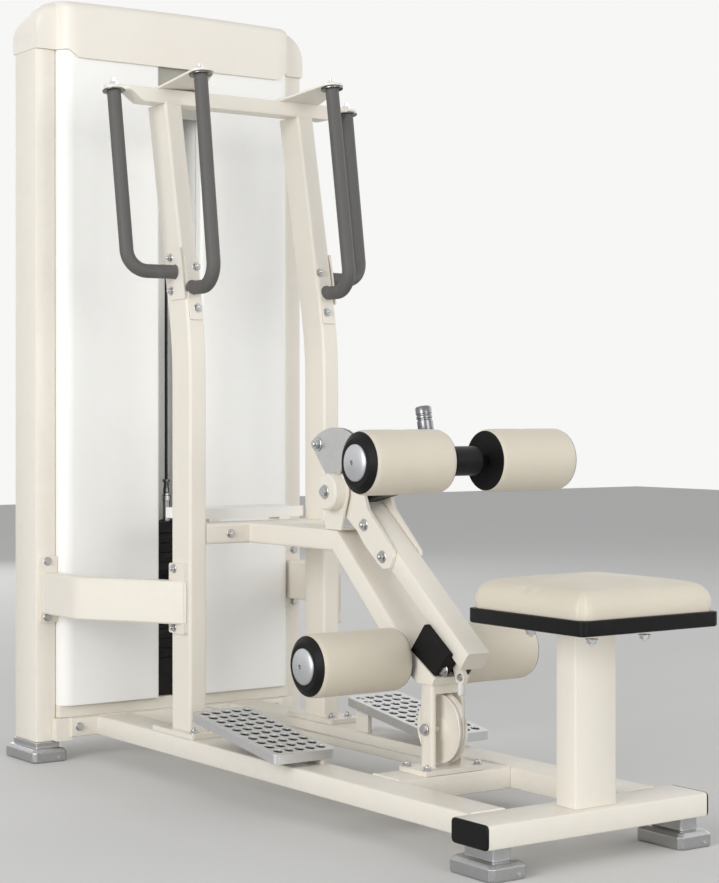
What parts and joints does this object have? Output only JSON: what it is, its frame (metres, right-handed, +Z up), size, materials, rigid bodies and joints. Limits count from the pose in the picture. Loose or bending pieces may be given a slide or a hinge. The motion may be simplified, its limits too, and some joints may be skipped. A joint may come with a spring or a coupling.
{
  "type": "standing hip thrust machine",
  "caption": "Standing hip thrust machine: guarded weight tower, hinged lever with padded rollers, lower rollers, grip handles, perforated foot plates and a padded seat on a low frame.",
  "frame": {"origin": "centre of the machine's footprint, on the floor", "axes": "+Z up, +Y from the seat towards the weight tower, +X to the right hand of a person who stands facing the tower"},
  "size_m": [0.865, 1.996, 1.974],
  "materials": {
    "cream_paint": "satin cream powder coat",
    "white_sheet": "smooth off-white coated sheet",
    "cap_shell": "moulded cream shell, satin",
    "black_plastic": "moulded black plastic",
    "black_paint": "satin black coat",
    "stack_iron": "black coated weight plates",
    "grey_coat": "grey non-slip coat on steel bar",
    "cast_aluminium": "bright cast aluminium",
    "bare_steel": "zinc plated plate",
    "polished_steel": "polished chromed steel",
    "black_rubber": "matt black rubber",
    "upholstery": "sand coloured synthetic leather over foam",
    "cable_jacket": "black nylon jacket over steel cable"
  },
  "bodies": {
    "frame": {"front_crosstube": "cream_paint", "crosstube_cap_left": "black_plastic", "crosstube_cap_right": "black_plastic", "rail_left": "cream_paint", "rail_right": "cream_paint", "rear_crosstube": "cream_paint", "post_crossbar": "cream_paint", "column_left": "cream_paint", "column_right": "cream_paint", "tower_top_beam": "cream_paint", "tower_bottom_beam": "cream_paint", "top_cap": "cap_shell", "guard_left": "white_sheet", "guard_right": "white_sheet", "back_cover": "white_sheet", "brace_left": "cream_paint", "brace_right": "cream_paint", "upright_left": "cream_paint", "upright_right": "cream_paint", "top_crossbar": "cream_paint", "handle_outer_left": "grey_coat", "handle_outer_right": "grey_coat", "handle_inner_left": "grey_coat", "handle_inner_right": "grey_coat", "spine": "cream_paint", "cable_post": "cream_paint", "rest_block": "black_rubber", "shelf": "white_sheet", "foot_plate_left": "cast_aluminium", "foot_plate_right": "cast_aluminium", "seat_post": "cream_paint", "seat_rim": "black_plastic", "seat_cushion": "upholstery", "foot_front_left": "cast_aluminium", "foot_front_right": "cast_aluminium", "foot_rear_left": "cast_aluminium", "foot_rear_right": "cast_aluminium", "lower_stack": "stack_iron", "guide_rod_left": "polished_steel", "guide_rod_right": "polished_steel", "main_cable": "cable_jacket", "pivot_bracket": "cream_paint", "pivot_shaft": "polished_steel", "stop_quadrant": "bare_steel"},
    "lower_roller_l": {"lower_roller_left": "upholstery"},
    "lower_roller_r": {"lower_roller_right": "upholstery"},
    "post_wheel": {"post_pulley": "cream_paint"},
    "base_wheel": {"base_pulley": "black_plastic"},
    "top_wheel": {"top_pulley": "black_plastic"},
    "lever": {"lever_beam": "cream_paint", "head_plate_left": "cream_paint", "head_plate_right": "cream_paint", "arm_sleeve": "black_paint"},
    "carriage": {"roller_carriage": "black_paint"},
    "carriage_pin": {"pull_pin": "polished_steel"},
    "upper_roller_l": {"upper_roller_left": "upholstery"},
    "upper_roller_r": {"upper_roller_right": "upholstery"},
    "rising_stack": {"raised_stack": "stack_iron", "cable_drop": "cable_jacket"},
    "stack_pin": {"selector_pin": "black_plastic"}
  },
  "joints": [
    {"name": "lever_hinge", "type": "hinge", "parent": "frame", "child": "lever", "pos_m": [0, 0.01, 0.717], "axis": [-1, 0, 0], "range_deg": [0, 50]},
    {"name": "carriage_slide", "type": "slide", "parent": "lever", "child": "carriage", "axis": [0, -0.9763, 0.2164], "range_m": [0, 0.06]},
    {"name": "pull_pin_slide", "type": "slide", "parent": "lever", "child": "carriage_pin", "axis": [0, 0.2164, 0.9763], "range_m": [0, 0.01], "stiffness_N_per_m": 1500, "springref_m": -0.004},
    {"name": "upper_roller_left_spin", "type": "hinge", "parent": "carriage", "child": "upper_roller_l", "pos_m": [-0.18025, -0.397, 0.796], "axis": [1, 0, 0], "continuous": true},
    {"name": "upper_roller_right_spin", "type": "hinge", "parent": "carriage", "child": "upper_roller_r", "pos_m": [0.18025, -0.397, 0.796], "axis": [1, 0, 0], "continuous": true},
    {"name": "lower_roller_left_spin", "type": "hinge", "parent": "frame", "child": "lower_roller_l", "pos_m": [-0.193, -0.238, 0.352], "axis": [1, 0, 0], "continuous": true},
    {"name": "lower_roller_right_spin", "type": "hinge", "parent": "frame", "child": "lower_roller_r", "pos_m": [0.193, -0.238, 0.352], "axis": [1, 0, 0], "continuous": true},
    {"name": "stack_lift", "type": "slide", "parent": "frame", "child": "rising_stack", "axis": [0, 0, 1], "range_m": [0, 0.445], "deforming": ["cable_drop"]},
    {"name": "selector_pin_slide", "type": "slide", "parent": "rising_stack", "child": "stack_pin", "axis": [0, -1, 0], "range_m": [0, 0.07]},
    {"name": "post_pulley_spin", "type": "hinge", "parent": "frame", "child": "post_wheel", "pos_m": [0, -0.327, 0.2035], "axis": [1, 0, 0], "range_deg": [-370, 370]},
    {"name": "base_pulley_spin", "type": "hinge", "parent": "frame", "child": "base_wheel", "pos_m": [0, 0.9413, 0.167], "axis": [1, 0, 0], "range_deg": [-700, 700]},
    {"name": "top_pulley_spin", "type": "hinge", "parent": "frame", "child": "top_wheel", "pos_m": [0, 0.9413, 1.713], "axis": [1, 0, 0], "range_deg": [-700, 700]}
  ],
  "couplings": [
    {"joint": "stack_lift", "follows": "lever_hinge", "m_per_rad": 0.504},
    {"joint": "post_pulley_spin", "follows": "lever_hinge", "ratio": -6.66},
    {"joint": "base_pulley_spin", "follows": "lever_hinge", "ratio": -12.8},
    {"joint": "top_pulley_spin", "follows": "lever_hinge", "ratio": -12.8}
  ]
}
